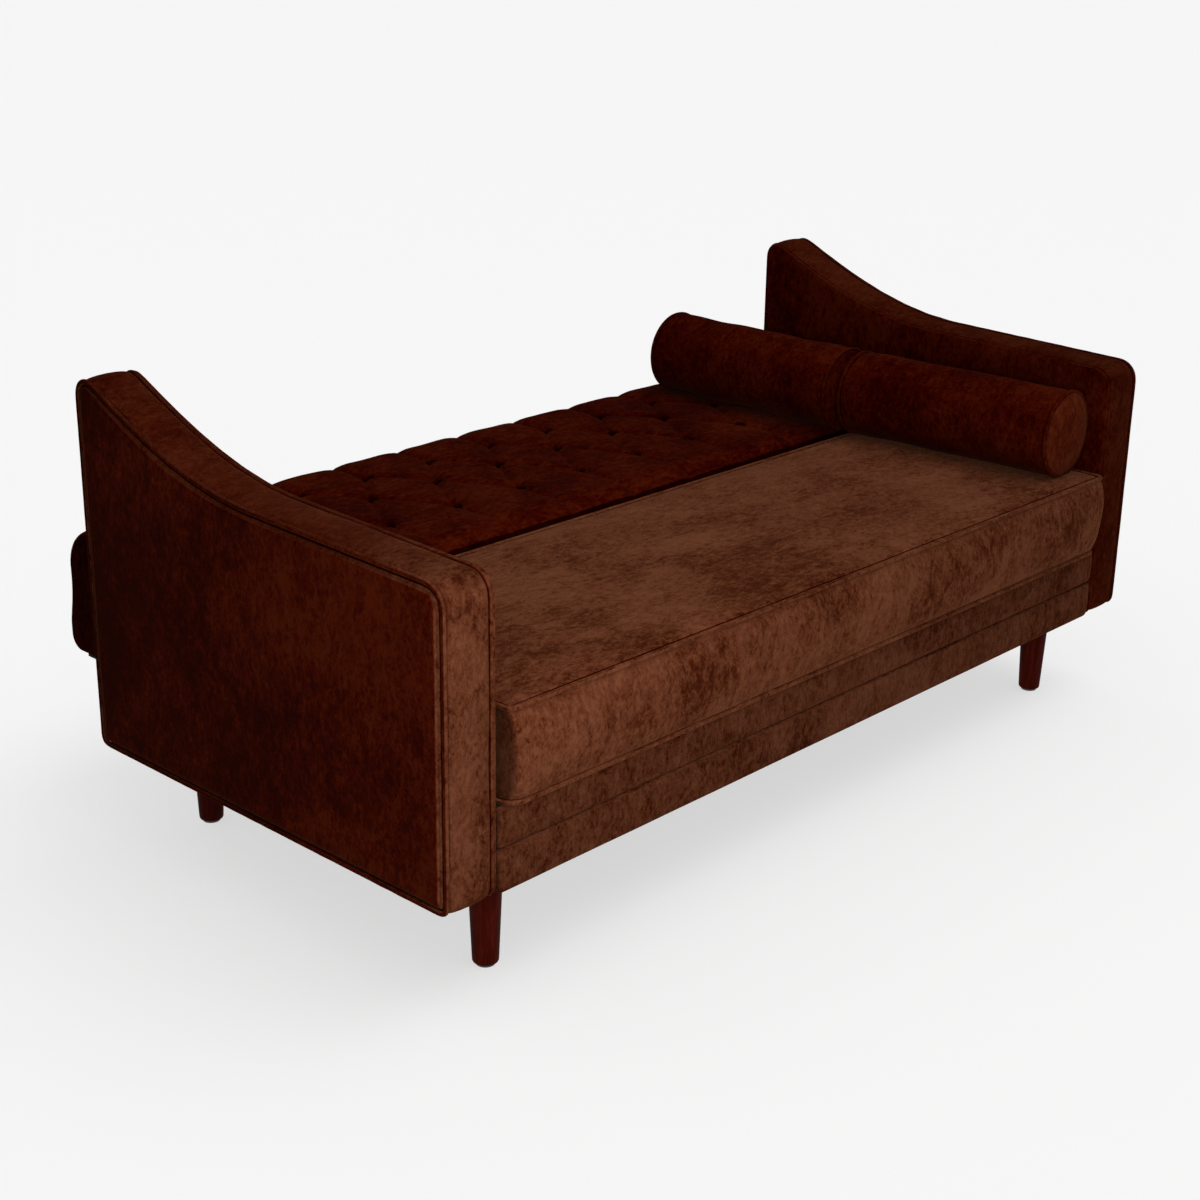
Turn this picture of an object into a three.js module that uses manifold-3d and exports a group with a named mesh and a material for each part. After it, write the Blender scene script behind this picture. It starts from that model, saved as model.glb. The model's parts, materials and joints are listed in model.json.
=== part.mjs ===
// Three-seat sofa bed with swooped arms, shown as a daybed with its tufted back folded flat.
// Millimetres. +X is to the right, -Y is the front and +Z is up.
// The pieces are built with x = 0 in the middle, y = 0 at the front of the arms and z = 0 on
// the floor. The whole sofa is then moved along Y so that its bounding box is centred.

import * as THREE from 'three';
import { mergeVertices } from 'three/addons/utils/BufferGeometryUtils.js';
import Module from 'manifold-3d';

const wasm = await Module();
wasm.setup();

// ---- driving dimensions ----
const WIDTH = 2000;              // over both arms
const ARM_THICKNESS = 112;
const ARM_DEPTH = 932;
const ARM_FRONT_HEIGHT = 729;
const ARM_REAR_HEIGHT = 872;
const ARM_BOTTOM = 181;          // the legs' height
const ARM_FRONT_RADIUS = 40;
const ARM_REAR_RADIUS = 30;
const ARM_FOOT_RADIUS = 14;
const ARM_SWOOP_START = 470;     // where the level front part of the arm starts to rise
const ARM_RISE = 11;             // of the nearly level front part
const SWOOP_LEAN = 24;           // degrees, slope where the swoop meets the rear peak
const SWOOP_PEAK_PULL = 70;      // how far the swoop keeps that slope
const SWOOP_FOOT_PULL = 180;     // how far it keeps the level part's slope
const SWOOP_FOOT_LIFT = 7;
const PIPING_RADIUS = 4;
const COVER_THICKNESS = 12;      // outer side panel of an arm
const INNER_COVER_THICKNESS = 8;

const SEAT_BOTTOM = 333;
const SEAT_TOP = 505;            // at the top piping
const SEAT_CROWN = 6;
const SEAT_BULGE = 20;           // front face beyond its piping
const SEAT_OVERHANG = 18;        // front piping line ahead of the arms
const SEAT_REAR = 570;
const SEAT_CORNER = 30;
const SEAT_SIDE_GAP = 6;

const BACK_BOTTOM = 258;
const BACK_TOP = 508;
const BACK_REAR = 1200;
const BACK_GAP = 7;              // between the seat's rear face and the folded back
const BACK_NOSE_RADIUS = 88;
const BACK_REAR_RADIUS = 80;
const BACK_HEEL_RADIUS = 30;
const BACK_SIDE_GAP = 10;
const FRONT_BOARD_SETBACK = 63;  // from the back's nose to its front board
const REAR_BOARD_SETBACK = 50;

const HINGE_FROM_NOSE = 118;     // pivot behind the back's front face
const HINGE_BELOW_TOP = 108;
const PLATE_THICKNESS = 3.3;
const PIVOT_RADIUS = 6;
const BOLT_HEAD_RADIUS = 11;
const BOLT_HEAD = 7;
const COLLAR_RADIUS = 12;
const POCKET_RADIUS = 16;        // hollow in the padding round the bolt's head
const POCKET_DEPTH = 12;
const BASE_EYE = 26;             // radius of the base leaf's round end
const BACK_EYE = 24;
const LEAF_HALF = 45;            // half the width of the base leaf's foot
const BACK_LEAF_AHEAD = 20;      // the back leaf's foot before and behind the pivot
const BACK_LEAF_BEHIND = 120;
const LEAF_EDGE = 8;             // from a leaf's foot to the lower edge of its board
const REBATE_HALF = 60;          // half the width of the rebate for the base leaf

const BOARD = 22;
const SIDE_RAIL = 25;            // thickness of the side rails
const RAIL_SETBACK = 39;         // rear rail to the rear of the arms
const SEAT_RAIL_SETBACK = 10;    // seat rail to the seat's rear face
const RAIL_PLAY = 5;             // least space between the hinge and the rear rail
const RAIL_BOTTOM = 184;
const RAIL_LOW_TOP = 245;        // rails behind the seat, under the folded back
const RAIL_HIGH_TOP = 330;       // rails under the seat
const BAND_SPLIT = 260;          // crease between the two bands of the front rail
const BAND_THICKNESS = 13;
const STRAP_WIDTH = 60;
const STRAP_THICKNESS = 2;
const SEAT_STRAPS = 4;
const BACK_STRAPS = 2;
const BACK_BOARD_BOTTOM = 262;
const BACK_BOARD_TOP = 338;
const BACK_PAD_BOTTOM = 341;
const BAND_INSET = 1;            // bands behind the front of the arms

const LEG_TOP_RADIUS = 30;
const LEG_FOOT_RADIUS = 22.5;
const LEG_FROM_ARM = 56;         // leg's axis to the arm's inner face
const LEG_FROM_END = 91;
const GLIDE_HEIGHT = 5;
const GLIDE_INSET = 4;           // glide inside the leg's foot
const LEG_BLOCK_TOP = 244;
const LEG_BLOCK_DEPTH = 98;
const LEG_BLOCK_WIDTH = 72;
const LEG_HOLE_PLAY = 4;         // dust cover round a leg

const BOLSTER_RADIUS = 91;
const BOLSTER_LENGTH = 538;
const BOLSTER_CAP = 16;          // bulge of the end caps, inside the length
const FRONT_BOLSTER_START = 22;
const BOLSTER_GAP = 8;           // between the two bolsters, end to end
const BOLSTER_TURN = 3;          // degrees that the front bolster turns away from the arm
const BOLSTER_ARM_GAP = 5;       // front bolster to the arm at its front end

const GAP = 0.3;                 // between pieces that touch
const PIVOT_CLEARANCE = 0.5;
const CURVE_STEPS = 8;
const OVERLAP = 10;              // by which a cutting body goes past what it cuts

// ---- sizes that follow ----
const HALF = WIDTH / 2;
const INNER = HALF - ARM_THICKNESS;
const BACK_FRONT = SEAT_REAR + BACK_GAP;
const BACK_HALF = INNER - BACK_SIDE_GAP;
const HINGE_Y = BACK_FRONT + HINGE_FROM_NOSE;
const HINGE_Z = BACK_TOP - HINGE_BELOW_TOP;
const SEAT_FRONT = -SEAT_OVERHANG;
const SEAT_HALF = INNER - SEAT_SIDE_GAP;
const RAIL_FRONT = BAND_THICKNESS + BAND_INSET;
const RAIL_REAR = Math.max(ARM_DEPTH - RAIL_SETBACK, HINGE_Y + LEAF_HALF + RAIL_PLAY + BOARD);
const SEAT_RAIL_REAR = SEAT_REAR - SEAT_RAIL_SETBACK;
const SIDE_RAIL_OUT = INNER - GAP;
const SIDE_RAIL_IN = SIDE_RAIL_OUT - SIDE_RAIL;
const PIPE_ROOM = 2 * PIPING_RADIUS + 2 * GAP;
const rad = THREE.MathUtils.degToRad;

// ---- materials ----
const FINISH = {
  velvet: { color: 0x3a1a10, roughness: 0.85, metalness: 0 },
  timber: { color: 0xb48a5c, roughness: 0.7, metalness: 0 },
  leg_wood: { color: 0x38120c, roughness: 0.45, metalness: 0 },
  strap: { color: 0x1c1c1c, roughness: 0.9, metalness: 0 },
  lining: { color: 0x151515, roughness: 0.95, metalness: 0 },
  steel: { color: 0x55585c, roughness: 0.4, metalness: 1 },
  plastic: { color: 0x202020, roughness: 0.5, metalness: 0 },
};

const sofa = new THREE.Group();

function add(name, finish, geometry) {
  const mesh = new THREE.Mesh(geometry, new THREE.MeshStandardMaterial(FINISH[finish]));
  mesh.name = name;
  sofa.add(mesh);
  return mesh;
}

// ---- shape helpers ----
function box(low, high) {
  const size = high.map((value, i) => value - low[i]);
  const geometry = new THREE.BoxGeometry(...size);
  return geometry.translate(...low.map((value, i) => value + size[i] / 2));
}

// A box between two distances from the middle, on the right side or mirrored on the left.
function sideBox(side, xIn, xOut, yRange, zRange) {
  const xs = side > 0 ? [xIn, xOut] : [-xOut, -xIn];
  return box([xs[0], yRange[0], zRange[0]], [xs[1], yRange[1], zRange[1]]);
}

function extrude(points, holes, depth) {
  const shape = new THREE.Shape(points);
  shape.holes.push(...holes);
  return new THREE.ExtrudeGeometry(shape, { depth, bevelEnabled: false, curveSegments: 12 });
}

// Extrudes an outline given in (y, z) along X, from x0 to x1.
function alongX(points, x0, x1, holes = []) {
  const turn = new THREE.Matrix4().makeBasis(
    new THREE.Vector3(0, 1, 0), new THREE.Vector3(0, 0, 1), new THREE.Vector3(1, 0, 0));
  return extrude(points, holes, x1 - x0).applyMatrix4(turn).translate(x0, 0, 0);
}

// Extrudes an outline given in (x, y) upwards, from z0 to z1.
function alongZ(points, z0, z1, holes = []) {
  return extrude(points, holes, z1 - z0).translate(0, 0, z0);
}

function circleHole(u, v, radius) {
  return new THREE.Path().absarc(u, v, radius, 0, 2 * Math.PI, true);
}

// Turns a lathe profile of [distance, radius] pairs about the X axis.
function latheX(profile, segments) {
  const points = profile.map(([along, radius]) => new THREE.Vector2(radius, along));
  return new THREE.LatheGeometry(points, segments).rotateZ(-Math.PI / 2);
}

function latheZ(profile, segments) {
  const points = profile.map(([along, radius]) => new THREE.Vector2(radius, along));
  return new THREE.LatheGeometry(points, segments).rotateX(Math.PI / 2);
}

function solid(geometry) {
  const bare = geometry.clone();
  bare.deleteAttribute('normal');
  bare.deleteAttribute('uv');
  const merged = mergeVertices(bare, 1e-4);
  return new wasm.Manifold(new wasm.Mesh({
    numProp: 3,
    vertProperties: new Float32Array(merged.attributes.position.array),
    triVerts: new Uint32Array(merged.index.array),
  }));
}

function toGeometry(manifold) {
  const mesh = manifold.getMesh();
  const geometry = new THREE.BufferGeometry();
  geometry.setAttribute('position', new THREE.BufferAttribute(mesh.vertProperties, 3));
  geometry.setIndex(new THREE.BufferAttribute(mesh.triVerts, 1));
  geometry.computeVertexNormals();
  return geometry;
}

// The points of a path without repeats, the last one not equal to the first.
function pointsOf(path, steps) {
  const points = path.getPoints(steps).filter((p, i, all) => i === 0 || p.distanceTo(all[i - 1]) > 0.01);
  if (points[0].distanceTo(points.at(-1)) < 0.01) points.pop();
  return points;
}

// Moves each corner of a counter-clockwise outline inwards by a distance.
function inset(points, distance) {
  return points.map((point, i) => {
    const before = points.at(i - 1);
    const after = points[(i + 1) % points.length];
    const a = point.clone().sub(before).normalize();
    const b = after.clone().sub(point).normalize();
    const normal = new THREE.Vector2(-a.y - b.y, a.x + b.x).normalize();
    const reach = distance / Math.max(0.5, normal.x * -a.y + normal.y * a.x);
    return point.clone().addScaledVector(normal, reach);
  });
}

function roundedRect(u0, v0, u1, v1, radius) {
  const path = new THREE.Path();
  path.moveTo(u0 + radius, v0);
  path.lineTo(u1 - radius, v0);
  path.absarc(u1 - radius, v0 + radius, radius, -Math.PI / 2, 0, false);
  path.lineTo(u1, v1 - radius);
  path.absarc(u1 - radius, v1 - radius, radius, 0, Math.PI / 2, false);
  path.lineTo(u0 + radius, v1);
  path.absarc(u0 + radius, v1 - radius, radius, Math.PI / 2, Math.PI, false);
  path.lineTo(u0, v0 + radius);
  path.absarc(u0 + radius, v0 + radius, radius, Math.PI, 1.5 * Math.PI, false);
  return pointsOf(path, 3);
}

// A route that visits each of its points at equal steps of its parameter.
class Route extends THREE.Curve {
  constructor(points) {
    super();
    this.points = points;
  }

  getPoint(t, target = new THREE.Vector3()) {
    const place = Math.min(Math.max(t, 0), 1) * (this.points.length - 1);
    const index = Math.min(Math.floor(place), this.points.length - 2);
    return target.lerpVectors(this.points[index], this.points[index + 1], place - index);
  }

  getPointAt(u, target) {
    return this.getPoint(u, target);
  }

  getTangentAt(u, target) {
    return this.getTangent(u, target);
  }
}

// A round cord along a nearly closed loop, with its two ends butted.
function cordLoop(points, radius) {
  const ends = 1;
  const loop = [...points, points[0]];
  const first = loop[0].clone().lerp(loop[1], ends / loop[0].distanceTo(loop[1]));
  const last = loop.at(-1).clone().lerp(loop.at(-2), ends / loop.at(-1).distanceTo(loop.at(-2)));
  const route = new Route([first, ...loop.slice(1, -1), last]);
  const section = new THREE.Shape();
  section.absarc(0, 0, radius, 0, 2 * Math.PI, false);
  return new THREE.ExtrudeGeometry(section, {
    steps: route.points.length - 1, extrudePath: route, curveSegments: 3, bevelEnabled: false });
}

// ---- arms ----
// Side view of an arm in (y, z): level at the front, then a swoop up to the rear peak.
function armOutline() {
  const foot = ARM_FOOT_RADIUS;
  const front = ARM_FRONT_RADIUS;
  const top = ARM_FRONT_HEIGHT;
  const levelEnd = top + ARM_RISE;
  const lean = rad(SWOOP_LEAN);
  const peakY = ARM_DEPTH - ARM_REAR_RADIUS;
  const peakZ = ARM_REAR_HEIGHT - ARM_REAR_RADIUS;
  const crest = new THREE.Vector2(
    peakY - ARM_REAR_RADIUS * Math.sin(lean), peakZ + ARM_REAR_RADIUS * Math.cos(lean));
  const path = new THREE.Path();
  path.moveTo(foot, ARM_BOTTOM);
  path.lineTo(ARM_DEPTH - foot, ARM_BOTTOM);
  path.absarc(ARM_DEPTH - foot, ARM_BOTTOM + foot, foot, -Math.PI / 2, 0, false);
  path.lineTo(ARM_DEPTH, peakZ);
  path.absarc(peakY, peakZ, ARM_REAR_RADIUS, 0, Math.PI / 2 + lean, false);
  path.bezierCurveTo(
    crest.x - SWOOP_PEAK_PULL * Math.cos(lean), crest.y - SWOOP_PEAK_PULL * Math.sin(lean),
    ARM_SWOOP_START + SWOOP_FOOT_PULL, levelEnd + SWOOP_FOOT_LIFT,
    ARM_SWOOP_START, levelEnd);
  path.lineTo(front, top);
  path.absarc(front, top - front, front, Math.PI / 2, Math.PI, false);
  path.lineTo(0, ARM_BOTTOM + foot);
  path.absarc(foot, ARM_BOTTOM + foot, foot, Math.PI, 1.5 * Math.PI, false);
  return pointsOf(path, CURVE_STEPS);
}

// The boxing runs up the front, over the top and down the rear, and is open underneath.
function boxingOutline(outline) {
  const inner = inset(outline, PIPE_ROOM);
  const above = (p) => p.y > ARM_BOTTOM + ARM_FOOT_RADIUS + 1;
  const outside = outline.filter(above);
  const inside = inner.filter((p, i) => above(outline[i]));
  const foot = ARM_BOTTOM + ARM_FOOT_RADIUS;
  const rear = [new THREE.Vector2(inside[0].x, foot), new THREE.Vector2(ARM_DEPTH, foot)];
  const front = [new THREE.Vector2(0, foot), new THREE.Vector2(inside.at(-1).x, foot)];
  return [rear[0], rear[1], ...outside, front[0], front[1], ...inside.reverse()];
}

function makeArm(label, side) {
  const outline = armOutline();
  const room = inset(outline, PIPE_ROOM);
  const span = (from, to) => (side > 0 ? [HALF - to, HALF - from] : [-HALF + from, -HALF + to]);
  const innerPipe = ARM_THICKNESS - INNER_COVER_THICKNESS - GAP - PIPING_RADIUS;
  const pipeLine = inset(outline, PIPING_RADIUS + GAP);
  const pipe = (from) => {
    const x = side * (HALF - from);
    return cordLoop(pipeLine.map((p) => new THREE.Vector3(x, p.x, p.y)), PIPING_RADIUS);
  };
  add(`arm_${label}_outer_cover`, 'velvet', alongX(room, ...span(0, COVER_THICKNESS)));
  add(`arm_${label}_frame`, 'timber',
    alongX(inset(outline, PIPE_ROOM + GAP),
      ...span(COVER_THICKNESS + GAP, ARM_THICKNESS - INNER_COVER_THICKNESS - GAP)));
  add(`arm_${label}_inner_cover`, 'velvet',
    alongX(outline, ...span(ARM_THICKNESS - INNER_COVER_THICKNESS, ARM_THICKNESS)));
  add(`arm_${label}_boxing`, 'velvet',
    alongX(boxingOutline(outline),
      ...span(PIPE_ROOM + GAP, innerPipe - PIPING_RADIUS - GAP)));
  add(`arm_${label}_outer_piping`, 'velvet', pipe(PIPING_RADIUS + GAP));
  add(`arm_${label}_inner_piping`, 'velvet', pipe(innerPipe));
}

// ---- base ----
// A side rail is high under the seat and low under the folded back, with a rebate for the hinge.
function makeSideRail(label, side) {
  const points = [
    [RAIL_FRONT + BOARD + GAP, RAIL_BOTTOM], [RAIL_REAR - BOARD - GAP, RAIL_BOTTOM],
    [RAIL_REAR - BOARD - GAP, RAIL_LOW_TOP], [SEAT_RAIL_REAR, RAIL_LOW_TOP],
    [SEAT_RAIL_REAR, RAIL_HIGH_TOP], [RAIL_FRONT + BOARD + GAP, RAIL_HIGH_TOP],
  ].map(([y, z]) => new THREE.Vector2(y, z));
  const xs = side > 0 ? [SIDE_RAIL_IN, SIDE_RAIL_OUT] : [-SIDE_RAIL_OUT, -SIDE_RAIL_IN];
  const rebateIn = SIDE_RAIL_OUT - PLATE_THICKNESS - 2 * GAP;
  const rebate = sideBox(side, rebateIn, SIDE_RAIL_OUT + OVERLAP,
    [HINGE_Y - REBATE_HALF, HINGE_Y + REBATE_HALF], [RAIL_BOTTOM - OVERLAP, RAIL_LOW_TOP + OVERLAP]);
  const rail = solid(alongX(points, ...xs)).subtract(solid(rebate));
  add(`base_side_rail_${label}`, 'timber', toGeometry(rail));
}

function makeBase() {
  const across = INNER - GAP;
  add('base_front_rail', 'timber',
    box([-across, RAIL_FRONT, RAIL_BOTTOM], [across, RAIL_FRONT + BOARD, RAIL_HIGH_TOP]));
  add('base_rear_rail', 'timber',
    box([-across, RAIL_REAR - BOARD, RAIL_BOTTOM], [across, RAIL_REAR, RAIL_LOW_TOP]));
  makeSideRail('left', -1);
  makeSideRail('right', 1);
  const inside = SIDE_RAIL_IN - GAP;
  add('seat_rear_rail', 'timber',
    box([-inside, SEAT_RAIL_REAR - BOARD, RAIL_LOW_TOP + GAP], [inside, SEAT_RAIL_REAR, RAIL_HIGH_TOP]));
  const beam = [[RAIL_FRONT + BOARD + GAP, RAIL_BOTTOM], [RAIL_REAR - BOARD - GAP, RAIL_LOW_TOP]];
  add('base_centre_beam', 'timber', box([-BOARD, ...beam[0]], [BOARD, ...beam[1]]));
  const bandEnd = across - BAND_INSET;
  const bandRear = RAIL_FRONT - GAP;
  add('front_band_lower', 'velvet',
    box([-bandEnd, BAND_INSET, ARM_BOTTOM], [bandEnd, bandRear, BAND_SPLIT - GAP]));
  add('front_band_upper', 'velvet',
    box([-bandEnd, BAND_INSET, BAND_SPLIT + GAP], [bandEnd, bandRear, SEAT_BOTTOM - BAND_INSET]));
}

function makeSeatStraps() {
  const pitch = 2 * SIDE_RAIL_IN / (SEAT_STRAPS + 1);
  for (let i = 0; i < SEAT_STRAPS; i += 1) {
    const x = -SIDE_RAIL_IN + (i + 1) * pitch;
    add(`seat_strap_${i + 1}`, 'strap', box(
      [x - STRAP_WIDTH / 2, RAIL_FRONT + STRAP_THICKNESS, RAIL_HIGH_TOP + GAP],
      [x + STRAP_WIDTH / 2, SEAT_RAIL_REAR - STRAP_THICKNESS, RAIL_HIGH_TOP + GAP + STRAP_THICKNESS]));
  }
}

// ---- legs ----
function legPlaces() {
  const x = INNER - LEG_FROM_ARM;
  const places = [];
  for (const [end, y] of [['front', LEG_FROM_END], ['rear', RAIL_REAR + RAIL_SETBACK - LEG_FROM_END]]) {
    places.push([`${end}_left`, -x, y], [`${end}_right`, x, y]);
  }
  return places;
}

function makeLeg(label, x, y) {
  const top = RAIL_BOTTOM - GAP;
  const leg = latheZ([
    [GLIDE_HEIGHT, 0], [GLIDE_HEIGHT, LEG_FOOT_RADIUS - 2], [GLIDE_HEIGHT + 3, LEG_FOOT_RADIUS],
    [top, LEG_TOP_RADIUS], [top, 0]], 24);
  add(`leg_${label}`, 'leg_wood', leg.translate(x, y, 0));
  const glideTop = GLIDE_HEIGHT - GAP;
  const glideRadius = LEG_FOOT_RADIUS - GLIDE_INSET;
  const glide = latheZ([[0, 0], [0, glideRadius - 2], [glideTop, glideRadius], [glideTop, 0]], 20);
  add(`glide_${label}`, 'plastic', glide.translate(x, y, 0));
  const side = Math.sign(x);
  const front = y < ARM_DEPTH / 2;
  const start = front ? RAIL_FRONT + BOARD + GAP : RAIL_REAR - BOARD - GAP - LEG_BLOCK_DEPTH;
  const outer = SIDE_RAIL_IN - GAP;
  add(`leg_block_${label}`, 'timber', sideBox(side, outer - LEG_BLOCK_WIDTH, outer,
    [start, start + LEG_BLOCK_DEPTH], [RAIL_BOTTOM, LEG_BLOCK_TOP]));
}

function makeDustCover() {
  const half = INNER - 2;
  const outline = [[-half, RAIL_FRONT], [half, RAIL_FRONT], [half, RAIL_REAR], [-half, RAIL_REAR]];
  const holes = legPlaces().map(([, x, y]) => circleHole(x, y, LEG_TOP_RADIUS + LEG_HOLE_PLAY));
  add('dust_cover', 'lining', alongZ(
    outline.map(([x, y]) => new THREE.Vector2(x, y)), ARM_BOTTOM + GAP, RAIL_BOTTOM - GAP, holes));
}

// ---- seat cushion ----
function makeSeatCushion() {
  const zLow = SEAT_BOTTOM + PIPE_ROOM;
  const zHigh = SEAT_TOP - PIPE_ROOM;
  const middle = (zLow + zHigh) / 2;
  const face = new THREE.Path();
  face.moveTo(SEAT_REAR, zLow);
  face.lineTo(SEAT_REAR, zHigh);
  face.lineTo(SEAT_FRONT, zHigh);
  face.quadraticCurveTo(SEAT_FRONT - 2 * SEAT_BULGE, middle, SEAT_FRONT, zLow);
  const outline = pointsOf(face, CURVE_STEPS).reverse();
  const plan = roundedRect(-SEAT_HALF, SEAT_FRONT - SEAT_BULGE, SEAT_HALF, SEAT_REAR, SEAT_CORNER);
  const wall = solid(alongX(outline, -SEAT_HALF, SEAT_HALF))
    .intersect(solid(alongZ(plan, SEAT_BOTTOM, SEAT_TOP)));
  const crownPath = new THREE.Path();
  crownPath.moveTo(SEAT_FRONT, SEAT_BOTTOM);
  crownPath.lineTo(SEAT_REAR, SEAT_BOTTOM);
  crownPath.lineTo(SEAT_REAR, SEAT_TOP);
  crownPath.quadraticCurveTo((SEAT_REAR + SEAT_FRONT) / 2, SEAT_TOP + 2 * SEAT_CROWN, SEAT_FRONT, SEAT_TOP);
  const plate = roundedRect(-SEAT_HALF, SEAT_FRONT, SEAT_HALF, SEAT_REAR, SEAT_CORNER);
  const core = solid(alongX(pointsOf(crownPath, CURVE_STEPS), -SEAT_HALF, SEAT_HALF))
    .intersect(solid(alongZ(inset(plate, PIPE_ROOM), SEAT_BOTTOM, SEAT_TOP + 2 * SEAT_CROWN)));
  add('seat_cushion', 'velvet', toGeometry(wall.add(core)));
  const line = inset(plate, PIPING_RADIUS + GAP);
  const heights = { top: SEAT_TOP - PIPING_RADIUS - GAP, bottom: SEAT_BOTTOM + PIPING_RADIUS + GAP };
  for (const [label, z] of Object.entries(heights)) {
    add(`seat_piping_${label}`, 'velvet',
      cordLoop(line.map((p) => new THREE.Vector3(p.x, p.y, z)), PIPING_RADIUS));
  }
}

// ---- folding back ----
// Side view of the upholstered back in (y, z), lying flat with its nose at the seat.
function backOutline() {
  const path = new THREE.Path();
  const nose = BACK_NOSE_RADIUS;
  const heel = BACK_HEEL_RADIUS;
  const rear = BACK_REAR_RADIUS;
  path.moveTo(BACK_FRONT + nose, BACK_BOTTOM);
  path.lineTo(BACK_REAR - heel, BACK_BOTTOM);
  path.absarc(BACK_REAR - heel, BACK_BOTTOM + heel, heel, -Math.PI / 2, 0, false);
  path.lineTo(BACK_REAR, BACK_TOP - rear);
  path.absarc(BACK_REAR - rear, BACK_TOP - rear, rear, 0, Math.PI / 2, false);
  path.lineTo(BACK_FRONT + nose, BACK_TOP);
  path.absarc(BACK_FRONT + nose, BACK_TOP - nose, nose, Math.PI / 2, Math.PI, false);
  path.lineTo(BACK_FRONT, BACK_BOTTOM + nose);
  path.absarc(BACK_FRONT + nose, BACK_BOTTOM + nose, nose, Math.PI, 1.5 * Math.PI, false);
  return pointsOf(path, CURVE_STEPS);
}

function makeBackPadding() {
  const whole = solid(alongX(backOutline(), -BACK_HALF, BACK_HALF));
  const reach = BACK_HALF + OVERLAP;
  const frontBoard = BACK_FRONT + FRONT_BOARD_SETBACK;
  const rearBoard = BACK_REAR - REAR_BOARD_SETBACK;
  const part = (low, high) => whole.intersect(solid(box([-reach, ...low], [reach, ...high])));
  let pad = part([BACK_FRONT - OVERLAP, BACK_PAD_BOTTOM], [BACK_REAR + OVERLAP, BACK_TOP + OVERLAP]);
  const pocketLength = POCKET_DEPTH + OVERLAP;
  for (const side of [-1, 1]) {
    const pocket = latheX(
      [[0, 0], [0, POCKET_RADIUS], [pocketLength, POCKET_RADIUS], [pocketLength, 0]], 24);
    pocket.translate(side > 0 ? BACK_HALF - POCKET_DEPTH : -BACK_HALF - OVERLAP, HINGE_Y, HINGE_Z);
    pad = pad.subtract(solid(pocket));
  }
  add('back_cushion', 'velvet', toGeometry(pad));
  add('back_front_roll', 'velvet',
    toGeometry(part([BACK_FRONT - OVERLAP, BACK_BOTTOM - OVERLAP],
      [frontBoard - GAP, BACK_PAD_BOTTOM - GAP])));
  add('back_rear_roll', 'velvet',
    toGeometry(part([rearBoard + GAP, BACK_BOTTOM - OVERLAP],
      [BACK_REAR + OVERLAP, BACK_PAD_BOTTOM - GAP])));
  return [frontBoard, rearBoard];
}

function makeBackFrame(frontBoard, rearBoard) {
  const low = BACK_BOARD_BOTTOM;
  const high = BACK_BOARD_TOP;
  const inside = BACK_HALF - BOARD - GAP;
  add('back_front_board', 'timber', box([-inside, frontBoard, low], [inside, frontBoard + BOARD, high]));
  add('back_rear_board', 'timber', box([-inside, rearBoard - BOARD, low], [inside, rearBoard, high]));
  for (const [label, side] of [['left', -1], ['right', 1]]) {
    add(`back_side_board_${label}`, 'timber',
      sideBox(side, BACK_HALF - BOARD, BACK_HALF, [frontBoard, rearBoard], [low, high]));
  }
  add('back_middle_board', 'timber', box(
    [-BOARD / 2, frontBoard + BOARD + GAP, low], [BOARD / 2, rearBoard - BOARD - GAP, high]));
  add('back_underside_panel', 'lining', box(
    [-BACK_HALF, frontBoard, BACK_BOTTOM], [BACK_HALF, rearBoard, low - GAP]));
  const pitch = (rearBoard - frontBoard) / (BACK_STRAPS + 1);
  for (let i = 0; i < BACK_STRAPS; i += 1) {
    const y = frontBoard + (i + 1) * pitch;
    add(`back_strap_${i + 1}`, 'strap', box(
      [-BACK_HALF + 2, y - STRAP_WIDTH / 2, high + GAP],
      [BACK_HALF - 2, y + STRAP_WIDTH / 2, high + GAP + STRAP_THICKNESS]));
  }
}

// ---- click-clack hinges ----
// A hinge leaf in (y, z): a round eye on the pivot and a tail that widens to a mounting foot.
function leafOutline(eye, tail) {
  const path = new THREE.Path();
  const [y0, y1, zTop, zBottom] = tail;
  path.absarc(HINGE_Y, HINGE_Z, eye, rad(-20), rad(200), false);
  path.lineTo(y0, zTop);
  path.lineTo(y0, zBottom);
  path.lineTo(y1, zBottom);
  path.lineTo(y1, zTop);
  return pointsOf(path, 12);
}

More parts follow.
